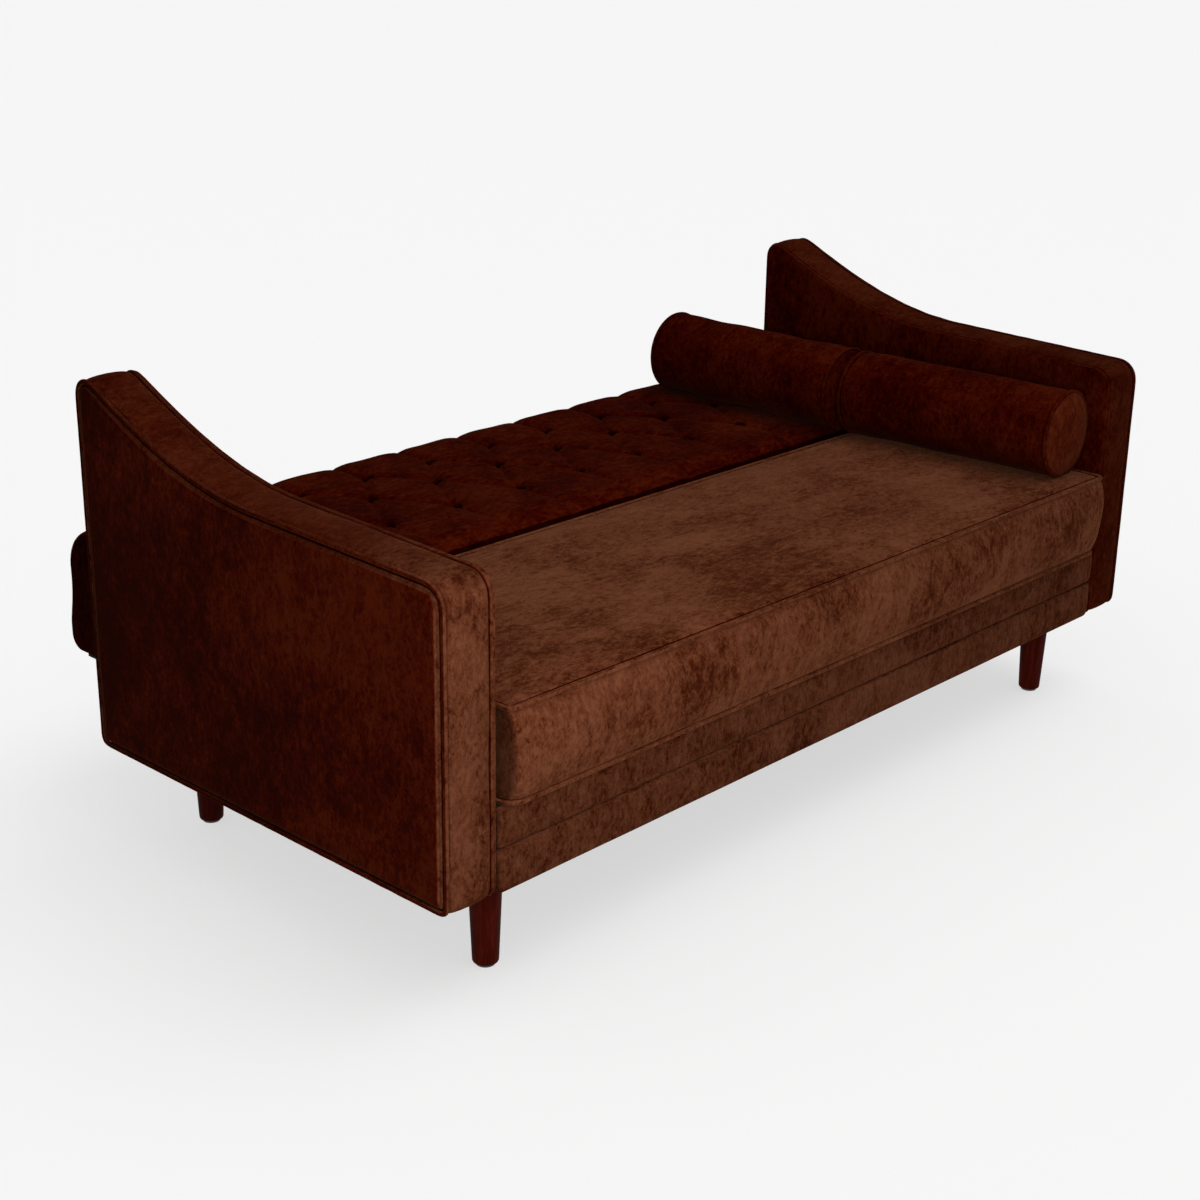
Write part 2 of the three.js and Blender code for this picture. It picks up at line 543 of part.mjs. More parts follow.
function makeHinge(label, side) {
  const hole = () => [circleHole(HINGE_Y, HINGE_Z, PIVOT_RADIUS + PIVOT_CLEARANCE)];
  const span = (from, to) => (side > 0 ? [from, to] : [-to, -from]);
  const baseOut = INNER - 2 * GAP;
  const baseIn = baseOut - PLATE_THICKNESS;
  const backIn = BACK_HALF + GAP;
  const backOut = backIn + PLATE_THICKNESS;
  const basePlate = leafOutline(BASE_EYE,
    [HINGE_Y - LEAF_HALF, HINGE_Y + LEAF_HALF, RAIL_LOW_TOP, RAIL_BOTTOM + LEAF_EDGE]);
  const backPlate = leafOutline(BACK_EYE,
    [HINGE_Y - BACK_LEAF_AHEAD, HINGE_Y + BACK_LEAF_BEHIND, BACK_BOARD_TOP, BACK_BOARD_BOTTOM + LEAF_EDGE]);
  add(`hinge_${label}_base_plate`, 'steel', alongX(basePlate, ...span(baseIn, baseOut), hole()));
  add(`hinge_${label}_back_plate`, 'steel', alongX(backPlate, ...span(backIn, backOut), hole()));
  const headEnd = backIn - GAP;
  const collarIn = backOut + GAP;
  const collarOut = baseIn - GAP;
  const shaft = PIVOT_RADIUS;
  const bolt = latheX([
    [headEnd - BOLT_HEAD, 0], [headEnd - BOLT_HEAD, BOLT_HEAD_RADIUS], [headEnd, BOLT_HEAD_RADIUS],
    [headEnd, shaft], [collarIn, shaft], [collarIn, COLLAR_RADIUS], [collarOut, COLLAR_RADIUS],
    [collarOut, shaft], [baseOut - GAP, shaft], [baseOut - GAP, 0]], 24);
  if (side < 0) bolt.rotateZ(Math.PI);
  add(`hinge_${label}_pivot_bolt`, 'steel', bolt.translate(0, HINGE_Y, HINGE_Z));
}

// ---- bolsters ----
function makeBolster(name, x, start, turn) {
  const cap = BOLSTER_CAP;
  const end = BOLSTER_LENGTH;
  const profile = [
    [0, 0], [cap * 0.3, BOLSTER_RADIUS * 0.6], [cap, BOLSTER_RADIUS * 0.93], [cap + 10, BOLSTER_RADIUS],
    [end - cap - 10, BOLSTER_RADIUS], [end - cap, BOLSTER_RADIUS * 0.93],
    [end - cap * 0.3, BOLSTER_RADIUS * 0.6], [end, 0]];
  const bolster = latheX(profile, 24).rotateZ(Math.PI / 2 + rad(turn));
  const rest = Math.max(SEAT_TOP + SEAT_CROWN, BACK_TOP) + 2 * GAP + BOLSTER_RADIUS;
  add(name, 'velvet', bolster.translate(x, start, rest));
}

makeArm('left', -1);
makeArm('right', 1);
makeBase();
makeSeatStraps();
for (const place of legPlaces()) makeLeg(...place);
makeDustCover();
makeSeatCushion();
makeBackFrame(...makeBackPadding());
makeHinge('left', -1);
makeHinge('right', 1);
const bolsterX = INNER - BOLSTER_RADIUS - BOLSTER_ARM_GAP;
const rearBolsterX = bolsterX - BOLSTER_LENGTH * Math.sin(rad(BOLSTER_TURN));
makeBolster('bolster_front', bolsterX, FRONT_BOLSTER_START, BOLSTER_TURN);
makeBolster('bolster_rear', rearBolsterX, FRONT_BOLSTER_START + BOLSTER_LENGTH + BOLSTER_GAP, 0);

sofa.position.y = -(SEAT_FRONT - SEAT_BULGE + BACK_REAR) / 2;

export default sofa;
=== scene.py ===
"""Looks of a velvet sofa bed laid flat as a daybed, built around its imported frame.

Metres, +X to the right, -Y the front, +Z up. Every upholstered piece is a set of rings, each a
closed loop of points, swept from one end of the piece to the other.
"""

import json
import math

import bmesh
import bpy
import numpy as np
from mathutils import Matrix, Vector

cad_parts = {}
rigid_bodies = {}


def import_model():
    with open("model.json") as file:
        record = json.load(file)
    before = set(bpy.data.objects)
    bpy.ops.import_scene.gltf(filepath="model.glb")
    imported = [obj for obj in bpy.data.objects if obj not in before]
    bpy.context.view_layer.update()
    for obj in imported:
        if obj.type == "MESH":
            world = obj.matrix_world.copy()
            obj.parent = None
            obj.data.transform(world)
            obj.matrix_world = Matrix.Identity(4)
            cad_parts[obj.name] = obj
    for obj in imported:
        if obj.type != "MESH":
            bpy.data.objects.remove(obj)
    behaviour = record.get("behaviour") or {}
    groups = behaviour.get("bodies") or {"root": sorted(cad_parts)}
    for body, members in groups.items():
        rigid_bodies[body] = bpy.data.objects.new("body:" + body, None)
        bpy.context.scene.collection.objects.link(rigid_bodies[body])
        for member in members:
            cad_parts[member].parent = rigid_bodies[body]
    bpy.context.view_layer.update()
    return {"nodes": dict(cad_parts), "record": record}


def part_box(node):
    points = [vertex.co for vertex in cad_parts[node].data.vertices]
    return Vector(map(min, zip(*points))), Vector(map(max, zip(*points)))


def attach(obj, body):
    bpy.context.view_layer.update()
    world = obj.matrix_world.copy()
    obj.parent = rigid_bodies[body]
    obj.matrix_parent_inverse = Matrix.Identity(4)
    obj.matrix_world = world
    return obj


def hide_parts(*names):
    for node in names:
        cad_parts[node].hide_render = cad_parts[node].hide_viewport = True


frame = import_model()

# ---- camera: metres, degrees and millimetres of lens ----
CAMERA_PLACE = (-2.861, -2.630, 1.734)
CAMERA_HEADING = -46.988
CAMERA_PITCH = 69.679
CAMERA_ROLL = 0.858
CAMERA_LENS = 60.84

# ---- sizes, in metres ----
PIPE = 0.0046                  # radius of the piping on arms and seat
PIPE_SIDES = 12
BOLSTER_PIPE = 0.0038
BOLSTER_CAP = 0.015            # how far an end cap bulges past its seam
NOSE_RADIUS = 0.088            # of the back's edge at the seat
REAR_RADIUS = 0.088
HEEL_RADIUS = 0.030
ROW_FROM_NOSE = (0.198, 0.352, 0.466)
BUTTONS_PER_ROW = 10
BUTTON_RADIUS = 0.0115
BUTTON_DEPTH = 0.020           # how far a button is pulled below the pleats
WELL_RADIUS = 0.0165           # of the pit round a button
GAP_SHADE = 0.037              # how far back from the nose the darker velvet, painted shadow of the gap by the seat, reaches
PUFF = 0.012                   # height of a tuft above its pleats
PLEAT_WIDTH = 0.007
PLEAT_SINK = 0.0035            # how far a pleat's fold goes below its tufts' edges
BACK_CROWN = 0.010             # how far the back's face stands above the CAD's
BACK_STEP = 0.0034
BACK_END_SHARES = (0.85, 0.65, 0.45, 0.28, 0.14, 0.05)
SEAT_CROWN = 0.012
BAND_BULGE = 0.0035
LEG_FOOT_RADIUS = 0.0225
RAIL_COVER = 0.0022            # thickness of the velvet on the rear rail
CUSHION_CLEARANCE = 0.0008
# painted shade: black lining put on these boards stands in for the shade in the gaps where they show
BLACKED_FOR_SHADE = ("base_front_rail", "back_side_board_left", "back_side_board_right")

# ---- velvet: a dark, a middle and a light colour each ----
# the darker palettes also serve as painted shade, as darker copies on sides, arm tops and creases
BROWN = ((0.026, 0.0040, 0.0011), (0.062, 0.0165, 0.0066), (0.098, 0.0325, 0.0155))
RUST = ((0.018, 0.0012, 0.0003), (0.030, 0.0032, 0.0008), (0.046, 0.0085, 0.0030))
WINE = ((0.009, 0.0002, 0.0001), (0.021, 0.0008, 0.0001), (0.040, 0.0045, 0.0008))


# ---- camera, light and floor ----
def make_camera():
    data = bpy.data.cameras.new("camera")
    data.sensor_width = 36
    data.lens = CAMERA_LENS
    data.clip_end = 200
    camera = bpy.data.objects.new("camera", data)
    turn = (Matrix.Rotation(math.radians(CAMERA_HEADING), 4, "Z")
            @ Matrix.Rotation(math.radians(CAMERA_PITCH), 4, "X")
            @ Matrix.Rotation(math.radians(CAMERA_ROLL), 4, "Z"))
    camera.matrix_world = Matrix.Translation(CAMERA_PLACE) @ turn
    bpy.context.scene.collection.objects.link(camera)
    bpy.context.scene.camera = camera


def add_light(name, kind, place, aim, strength, **settings):
    """A light at a place that shines along aim."""
    data = bpy.data.lights.new(name, kind)
    data.energy = strength
    for key, value in settings.items():
        setattr(data, key, value)
    light = bpy.data.objects.new(name, data)
    light.location = place
    light.rotation_euler = Vector(aim).to_track_quat("-Z", "Y").to_euler()
    bpy.context.scene.collection.objects.link(light)
    return light


def make_studio():
    """Soft light all round and from above, a softbox at the left front, and a wash for the floor."""
    world = bpy.data.worlds.new("studio")
    world.use_nodes = True
    world.node_tree.nodes["Background"].inputs["Color"].default_value = (1, 1, 1, 1)
    world.node_tree.nodes["Background"].inputs["Strength"].default_value = 0.25
    bpy.context.scene.world = world
    add_light("overhead", "SUN", (0, 0, 3), (-0.35, 0.25, -1.0), 0.33, angle=math.radians(45))
    on_sofa = [
        add_light("sofa_overhead", "SUN", (0, 0, 3), (-0.05, 0.22, -1.0), 1.50, angle=math.radians(70)),
        add_light("front_softbox", "AREA", (-1.65, -2.0, 1.3), (0.75, 1.0, -0.5), 48,
                  shape="DISK", size=1.0),
    ]
    wash = add_light("floor_wash", "SUN", (0, 0, 3), (0, 0, -1), 2.08)
    bpy.context.scene.view_settings.view_transform = "Standard"
    half = 60
    corners = [(-half, -half, 0), (half, -half, 0), (half, half, 0), (-half, half, 0)]
    material = bpy.data.materials.new("floor_paint")
    material.use_nodes = True
    shader = material.node_tree.nodes["Principled BSDF"]
    shader.inputs["Base Color"].default_value = (0.93, 0.93, 0.93, 1)
    shader.inputs["Roughness"].default_value = 0.9
    shader.inputs["Specular IOR Level"].default_value = 0.1
    floor = mesh_object("floor", corners, [(0, 1, 2, 3)], material)
    return floor, on_sofa, wash


def share_out_light(floor, on_sofa, wash):
    """Keeps the sofa's own lights off the floor, and the floor's wash off the sofa."""
    sofa = bpy.data.collections.new("sofa_lighting")
    ground = bpy.data.collections.new("floor_lighting")
    ground.objects.link(floor)
    for piece in bpy.context.scene.objects:
        if piece.type == "MESH" and piece is not floor:
            sofa.objects.link(piece)
    for light in on_sofa:
        light.light_linking.receiver_collection = sofa
    wash.light_linking.receiver_collection = ground
    wash.light_linking.blocker_collection = ground


# ---- materials ----
class Nodes:
    """Short calls for building a material's node tree."""

    def __init__(self, name):
        self.material = bpy.data.materials.new(name)
        self.material.use_nodes = True
        self.tree = self.material.node_tree
        self.shader = self.tree.nodes["Principled BSDF"]

    def add(self, kind, links=None, **settings):
        node = self.tree.nodes.new(kind)
        for key, value in settings.items():
            if hasattr(node, key):
                setattr(node, key, value)
            else:
                node.inputs[key.replace("_", " ")].default_value = value
        for name, socket in (links or {}).items():
            self.tree.links.new(socket, node.inputs[name])
        return node

    def coordinates(self, stretch=(1, 1, 1)):
        source = self.add("ShaderNodeTexCoord").outputs["Object"]
        mapping = self.add("ShaderNodeMapping", {"Vector": source})
        mapping.inputs["Scale"].default_value = stretch
        return mapping.outputs["Vector"]

    def noise(self, vector, scale, detail=4.0, roughness=0.55, distortion=0.0):
        node = self.add("ShaderNodeTexNoise", {"Vector": vector}, Scale=scale, Detail=detail,
                        Roughness=roughness, Distortion=distortion)
        return node.outputs["Fac"]

    def math(self, operation, a, b):
        node = self.add("ShaderNodeMath", operation=operation)
        for socket, value in zip(node.inputs, (a, b)):
            if isinstance(value, (int, float)):
                socket.default_value = value
            else:
                self.tree.links.new(value, socket)
        return node.outputs[0]

    def mix(self, factor, a, b, kind="FLOAT"):
        node = self.add("ShaderNodeMix", data_type=kind)
        ins = [socket for socket in node.inputs if socket.enabled]
        for socket, value in zip(ins, (factor, a, b)):
            self.tree.links.new(value, socket)
        return next(socket for socket in node.outputs if socket.enabled)

    def ramp(self, factor, stops):
        node = self.add("ShaderNodeValToRGB", {"Fac": factor})
        elements = node.color_ramp.elements
        while len(elements) < len(stops):
            elements.new(0.5)
        for element, (place, color) in zip(elements, stops):
            element.position = place
            element.color = (*color, 1) if len(color) == 3 else color
        return node.outputs["Color"]

    def span(self, factor, low, high, to_low, to_high):
        node = self.add("ShaderNodeMapRange", {"Value": factor})
        for name, value in (("From Min", low), ("From Max", high), ("To Min", to_low), ("To Max", to_high)):
            node.inputs[name].default_value = value
        return node.outputs["Result"]

    def bump(self, height, strength, distance, normal=None):
        links = {"Height": height}
        if normal:
            links["Normal"] = normal
        return self.add("ShaderNodeBump", links, Strength=strength, Distance=distance).outputs["Normal"]

    def link(self, socket, name):
        self.tree.links.new(socket, self.shader.inputs[name])

    def set(self, **values):
        for key, value in values.items():
            self.shader.inputs[key.replace("_", " ")].default_value = value


def tinted(colours, strength):
    return tuple(tuple(strength * channel for channel in colour) for colour in colours)


def velvet(name, front, top=None, side=None, sheen=0.06, rear_shade=0.0):
    """Crushed velvet: flecks and patches where the pile lies the other way.

    The streaks run along X on upward faces and up and down on upright ones. front, top and side
    are each a dark, a middle and a light colour, for the faces that look that way: painted light and
    shade, the lighter front colour standing in for light from the front and the darker top and side
    colours for painted shade. The front's colour runs on over the first stretch of the top, and the
    rear has the top's. rear_shade is painted shade that darkens the side towards the rear.
    """
    n = Nodes(name)
    place = n.add("ShaderNodeTexCoord")
    split = n.add("ShaderNodeSeparateXYZ", {"Vector": place.outputs["Normal"]})
    rearward = n.add("ShaderNodeSeparateXYZ", {"Vector": place.outputs["Object"]}).outputs["Y"]
    upward = n.span(n.math("ABSOLUTE", split.outputs["Z"], 0), 0.45, 0.8, 0, 1)
    sideways = n.span(n.math("ABSOLUTE", split.outputs["X"], 0), 0.6, 0.85, 0, 1)
    backward = n.span(split.outputs["Y"], 0.3, 0.6, 0, 1)

    def lying(scale, stretch, detail, roughness, distortion):
        level = n.noise(n.coordinates((stretch, 1, 1)), scale, detail, roughness, distortion)
        upright = n.noise(n.coordinates((1, 1, stretch)), scale, detail, roughness, distortion)
        return n.mix(upward, upright, level)

    patches = lying(4.2, 0.8, 3, 0.5, 0.6)
    clouds = lying(30, 0.62, 7, 0.72, 0.9)
    flecks = lying(110, 0.60, 8, 0.80, 0.5)
    fibres = lying(620, 0.30, 2, 0.6, 0.0)
    broad = n.math("ADD", n.math("MULTIPLY", patches, 0.23), n.math("MULTIPLY", clouds, 0.25))
    fine = n.math("ADD", n.math("MULTIPLY", flecks, 0.42), n.math("MULTIPLY", fibres, 0.10))
    mixed = n.math("ADD", broad, fine)
    stops = (0.432, 0.487, 0.565)
    colour = n.ramp(mixed, list(zip(stops, front)))
    # painted light and shade: upward and rear-facing faces past the front's stretch get the darker top
    # colour
    if top:
        not_front = n.math("MAXIMUM", upward, backward)
        past_front = n.math("MULTIPLY", not_front, n.span(rearward, -0.57, -0.33, 0, 1))
        colour = n.mix(past_front, colour, n.ramp(mixed, list(zip(stops, top))), "RGBA")
    # painted shade: sideways faces get the darker side colour, darker still towards the rear by rear_shade
    if side:
        shade_to_rear = n.math("ADD", mixed, n.span(rearward, -0.30, 0.25, 0, -rear_shade))
        colour = n.mix(sideways, colour, n.ramp(shade_to_rear, list(zip(stops, side))), "RGBA")
    n.link(colour, "Base Color")
    n.link(n.span(mixed, 0.4, 0.6, 0.95, 0.75), "Roughness")
    pile = n.bump(fibres, 0.3, 0.0006)
    n.link(n.bump(flecks, 0.35, 0.0014, pile), "Normal")
    n.set(Specular_IOR_Level=0.0, Sheen_Weight=sheen, Sheen_Roughness=0.4, Sheen_Tint=(1.0, 0.40, 0.20, 1))
    return n.material


def lacquered_wood():
    """Dark reddish-brown turned wood, grain running up the leg."""
    n = Nodes("leg_lacquer")
    grain = n.noise(n.coordinates((1, 1, 0.09)), 160, 6, 0.6, 0.6)
    pores = n.noise(n.coordinates((1, 1, 0.04)), 700, 2, 0.5)
    n.link(n.ramp(grain, [(0.3, (0.017, 0.0010, 0.0003)), (0.5, (0.030, 0.0020, 0.0006)),
                          (0.7, (0.046, 0.0046, 0.0016))]), "Base Color")
    n.link(n.span(grain, 0.3, 0.7, 0.42, 0.55), "Roughness")
    n.link(n.bump(pores, 0.12, 0.0003), "Normal")
    n.set(Specular_IOR_Level=0.015)
    return n.material


def raw_timber():
    n = Nodes("raw_timber")
    along = n.coordinates((0.08, 1, 1))
    rings = n.noise(along, 55, 5, 0.6, 1.2)
    n.link(n.ramp(rings, [(0.35, (0.30, 0.17, 0.08)), (0.55, (0.46, 0.29, 0.15)),
                          (0.7, (0.52, 0.35, 0.2))]), "Base Color")
    n.link(n.bump(n.noise(along, 400, 2), 0.2, 0.0004), "Normal")
    n.set(Roughness=0.75)
    return n.material


def lining_cloth():
    """Black non-woven cloth with its spot-bonded dimples."""
    n = Nodes("lining_cloth")
    place = n.coordinates()
    spots = n.add("ShaderNodeTexVoronoi", {"Vector": place}, Scale=420).outputs["Distance"]
    shade = n.ramp(n.noise(place, 90, 4), [(0.35, (0.006, 0.005, 0.005)), (0.65, (0.014, 0.012, 0.011))])
    n.link(shade, "Base Color")
    n.link(n.bump(spots, 0.4, 0.0005), "Normal")
    n.set(Roughness=0.9, Specular_IOR_Level=0.1)
    return n.material


def webbing():
    n = Nodes("webbing_weave")
    wave = n.add("ShaderNodeTexWave", {"Vector": n.coordinates()}, Scale=240)
    level = wave.outputs["Fac"]
    n.link(n.ramp(level, [(0.3, (0.01, 0.01, 0.01)), (0.7, (0.05, 0.05, 0.05))]), "Base Color")
    n.link(n.bump(level, 0.5, 0.0008), "Normal")
    n.set(Roughness=0.85)
    return n.material


def coated_steel():
    n = Nodes("coated_steel")
    speckle = n.noise(n.coordinates(), 300, 4)
    n.link(n.ramp(speckle, [(0.3, (0.012, 0.012, 0.013)), (0.7, (0.03, 0.03, 0.032))]), "Base Color")
    n.link(n.span(speckle, 0.3, 0.7, 0.35, 0.5), "Roughness")
    n.link(n.bump(speckle, 0.1, 0.0003), "Normal")
    n.set(Metallic=0.6)
    return n.material


def moulded_plastic():
    n = Nodes("moulded_plastic")
    pits = n.noise(n.coordinates(), 900, 2)
    n.link(n.ramp(pits, [(0.3, (0.012, 0.011, 0.01)), (0.7, (0.02, 0.018, 0.017))]), "Base Color")
    n.link(n.bump(pits, 0.15, 0.0002), "Normal")
    n.set(Roughness=0.5)
    return n.material


# ---- meshes ----
def mesh_object(name, vertices, faces, material, smooth=True):
    mesh = bpy.data.meshes.new(name)
    mesh.from_pydata([tuple(map(float, v)) for v in vertices], [], [tuple(map(int, f)) for f in faces])
    piece = bpy.data.objects.new(name, mesh)
    bpy.context.scene.collection.objects.link(piece)
    mesh.materials.append(material)
    if smooth:
        mesh.polygons.foreach_set("use_smooth", [True] * len(mesh.polygons))
    mesh.update()
    return piece


def loft(name, rings, material, capped=True, others=(), marks=None):
    """A closed skin through rings of equal length, each a closed loop.

    marks says for each gap between rings, or each face of it, which of the other materials it has:
    0 for the main one, 1 for the first of the others and so on.
    """
    rings = np.asarray(rings, float)
    count, size = rings.shape[:2]
    faces = []
    for i in range(count - 1):
        a = i * size + np.arange(size)
        b = i * size + (np.arange(size) + 1) % size
        faces += np.stack([a, b, b + size, a + size], axis=1).tolist()
    if capped:
        faces.append(list(range(size))[::-1])
        faces.append([(count - 1) * size + i for i in range(size)])
    piece = mesh_object(name, rings.reshape(-1, 3), faces, material)
    if marks is not None:
        for other in others:
            piece.data.materials.append(other)
        kinds = np.zeros(len(faces), int)
        spread = np.broadcast_to(np.reshape(marks, (count - 1, -1)), (count - 1, size))
        kinds[:(count - 1) * size] = spread.ravel()
        piece.data.polygons.foreach_set("material_index", kinds)
    tidy(piece)
    return piece


def tidy(piece):
    """Merges doubled points, cuts large caps into triangles and turns all faces outwards."""
    bm = bmesh.new()
    bm.from_mesh(piece.data)
    bmesh.ops.remove_doubles(bm, verts=bm.verts, dist=1e-6)
    bmesh.ops.dissolve_degenerate(bm, edges=bm.edges, dist=1e-7)
    bmesh.ops.triangulate(bm, faces=[f for f in bm.faces if len(f.verts) > 4])
    bmesh.ops.recalc_face_normals(bm, faces=bm.faces)
    bm.to_mesh(piece.data)
    bm.free()
    piece.data.polygons.foreach_set("use_smooth", [True] * len(piece.data.polygons))
    piece.data.update()


def join(name, pieces):
    bpy.ops.object.select_all(action="DESELECT")
    for piece in pieces:
        piece.select_set(True)
    bpy.context.view_layer.objects.active = pieces[0]
    bpy.ops.object.join()
    pieces[0].name = pieces[0].data.name = name
    return pieces[0]


def rounded_outline(u0, v0, u1, v1, radii, step=0.006, count=None):
    """A rectangle with rounded corners as evenly spaced points, from the middle of its v0 side.

    radii are those at (u1, v0), (u1, v1), (u0, v1) and (u0, v0).
    """
    corners = [(u1, v0, -1, 1, -90), (u1, v1, -1, -1, 0), (u0, v1, 1, -1, 90), (u0, v0, 1, 1, 180)]
    points = [((u0 + u1) / 2, v0)]
    for (u, v, to_u, to_v, start), radius in zip(corners, radii):
        for k in range(13):
            angle = math.radians(start + 90 * k / 12)
            points.append((u + to_u * radius + radius * math.cos(angle),
                           v + to_v * radius + radius * math.sin(angle)))
    return even_loop(np.array(points), step, count=count)


def bevelled_loop(u0, v0, u1, v1, radius, step=0.006, count=None):
    return rounded_outline(u0, v0, u1, v1, [radius] * 4, step, count)


def even_loop(points, step, blur=0, count=None):
    """The same closed loop with points a step apart, or count of them, eased by blur passes."""
    closed = np.vstack([points, points[:1]])
    along = np.concatenate([[0], np.cumsum(np.linalg.norm(np.diff(closed, axis=0), axis=1))])
    count = count or max(16, 2 * int(round(along[-1] / step / 2)))
    places = np.arange(count) * along[-1] / count
    loop = np.stack([np.interp(places, along, closed[:, k]) for k in range(closed.shape[1])], axis=1)
    for _ in range(blur):
        loop = 0.5 * loop + 0.25 * (np.roll(loop, 1, axis=0) + np.roll(loop, -1, axis=0))
    return loop


def inward(loop):
    """Unit normals that point into a loop of 2-D points."""
    tangent = np.roll(loop, -1, axis=0) - np.roll(loop, 1, axis=0)
    tangent /= np.linalg.norm(tangent, axis=1)[:, None]
    area = np.sum(loop[:, 0] * np.roll(loop[:, 1], -1) - loop[:, 1] * np.roll(loop[:, 0], -1))
    return np.sign(area) * np.stack([-tangent[:, 1], tangent[:, 0]], axis=1)


def cad_outline(node, high_side):
    """The outline in (y, z) of the flat end of a CAD node that was extruded along X."""
    bm = bmesh.new()
    bm.from_mesh(frame["nodes"][node].data)
    bmesh.ops.remove_doubles(bm, verts=bm.verts, dist=1e-6)
    xs = [v.co.x for v in bm.verts]
    end = max(xs) if high_side else min(xs)
    flat = {f for f in bm.faces if all(abs(v.co.x - end) < 1e-5 for v in f.verts)}
    follow = {}
    for face in flat:
        for loop in face.loops:
            if not any(other in flat for other in loop.edge.link_faces if other is not face):
                follow[loop.vert.index] = loop.link_loop_next.vert.index
    places = {v.index: (v.co.y, v.co.z) for v in bm.verts}
    first = min(follow)
    points = [places[first]]
    index = follow[first]
    while index != first:
        points.append(places[index])
        index = follow[index]
    bm.free()
    return np.array(points)


def ripple(points, wavelength, seed, waves=10):
    """Smooth repeatable unevenness between about -1 and 1."""
    rng = np.random.default_rng(seed)
    total = np.zeros(len(points))
    for _ in range(waves):
        direction = rng.normal(size=3)
        direction *= 2 * math.pi / (wavelength * rng.uniform(0.7, 1.4)) / np.linalg.norm(direction)
        total += np.sin(points @ direction + rng.uniform(0, 2 * math.pi))
    return total / math.sqrt(waves)


def cord(name, route, radius, material):
    """A round cord along a closed route of 3-D points."""
    tangent = np.roll(route, -1, axis=0) - np.roll(route, 1, axis=0)
    tangent /= np.linalg.norm(tangent, axis=1)[:, None]
    centre = route.mean(axis=0)
    spread = np.linalg.svd(route - centre)[2]
    up = np.broadcast_to(spread[2], route.shape)
    side = np.cross(tangent, up)
    side /= np.linalg.norm(side, axis=1)[:, None]
    angles = np.linspace(0, 2 * math.pi, PIPE_SIDES, endpoint=False)
    swell = radius * (1 + 0.03 * ripple(route, 0.05, 3))[:, None]
    rings = np.stack([route + swell * (math.cos(a) * side + math.sin(a) * up) for a in angles], axis=1)
    closed = np.concatenate([rings, rings[:1]])
    return loft(name, closed, material, capped=False)


def spine_blend(loop, spine, share):
    """Draws each point of a loop towards the nearest point of a segment."""
    a, b = np.array(spine[0]), np.array(spine[1])
    along = np.clip((loop - a) @ (b - a) / np.dot(b - a, b - a), 0, 1)[:, None]
    nearest = a + along * (b - a)
    return loop + (nearest - loop) * share


# ---- arms ----
def make_arm(label, side, cloth, shade_cloth):
    """An upholstered arm: outer panel, boxing round the edge, inner panel, and two pipings."""
    outline = cad_outline(f"arm_{label}_inner_cover", side > 0)
    loop = even_loop(outline, 0.006, 4)
    normals = inward(loop)
    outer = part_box(f"arm_{label}_outer_cover")
    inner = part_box(f"arm_{label}_inner_cover")
    thickness = (outer[1][0] - inner[0][0]) if side > 0 else (inner[1][0] - outer[0][0])
    face = outer[1][0] if side > 0 else outer[0][0]
    low_y, high_y = loop[:, 0].min(), loop[:, 0].max()
    low_z = loop[:, 1].min()
    depth = high_y - low_y
    spine = ((low_y + 0.27 * depth, low_z + 0.27), (low_y + 0.76 * depth, low_z + 0.30))
    inner_pipe = thickness - 0.0125

    def ring(x_in, inset, share=0.0, sag=0.0):
        flat = loop + normals * inset
        if share:
            flat = spine_blend(flat, spine, share)
        points = np.column_stack([np.full(len(flat), face - side * x_in), flat])
        points[:, 0] += side * sag * ripple(points, 0.30, 5) if sag else 0
        return points

    shares = [0.02, 0.05, 0.1, 0.17, 0.26, 0.38, 0.52, 0.68, 0.84]
    rings = [ring(-0.0022, 0.012, q, 0.0010) for q in reversed(shares)]
    groove = [(-0.0010, 0.0170), (0.0006, 0.0138), (0.0040, 0.0118), (0.0075, 0.0104), (0.0085, 0.0085),
              (0.0085, 0.0062)]
    rings += [ring(x_in, inset) for x_in, inset in groove]
    first, last = 0.0092, inner_pipe - 0.0042
    boxing = [(0.0, 0.0050), (0.02, 0.0022), (0.06, 0.0003), (0.13, -0.0010), (0.28, -0.0022),
              (0.50, -0.0028), (0.72, -0.0022), (0.86, -0.0010), (0.94, 0.0004), (0.98, 0.0024),
              (1.0, 0.0052)]
    for share, inset in boxing:
        x_in = first + share * (last - first)
        layer = ring(x_in, inset)
        puff = 0.0008 * ripple(layer, 0.16, 11)
        layer[:, 1:] -= normals * puff[:, None]
        rings.append(layer)
    edge = [(inner_pipe, 0.0066), (inner_pipe + 0.0038, 0.0052), (inner_pipe + 0.0050, 0.0026),
            (thickness - 0.0050, 0.0016), (thickness - 0.0022, 0.0042), (thickness - 0.0006, 0.0085),
            (thickness, 0.0120)]
    rings += [ring(x_in, inset) for x_in, inset in edge]
    rings += [ring(thickness + 0.0014, 0.012, q, 0.0010) for q in shares]
    # painted shade: faces in the grooves by the outer and inner pipings get the near-black velvet that
    # stands in for the shade there
    marks = np.zeros(len(rings) - 1, int)
    start = len(shares) + 1
    marks[start + 1:start + len(groove) - 2] = 1
    end = len(shares) + len(groove) + len(boxing) - 1
    marks[end:end + 3] = 1
    cover = loft(f"arm_{label}_cover", rings, cloth, others=[shade_cloth], marks=marks)
    replaced = [f"arm_{label}_{part}" for part in ("outer_cover", "inner_cover", "boxing")]
    finish_piece(cover, "base", replaced)
    for part, x_in in (("outer", 0.0042), ("inner", inner_pipe)):
        flat = loop + normals * 0.0036
        route = np.column_stack([np.full(len(flat), face - side * x_in), flat])
        piping = cord(f"arm_{label}_{part}_welt", route, PIPE, cloth)
        finish_piece(piping, "base", [f"arm_{label}_{part}_piping"])


def finish_piece(piece, body, replaced=()):
    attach(piece, body)
    if replaced:
        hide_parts(*replaced)


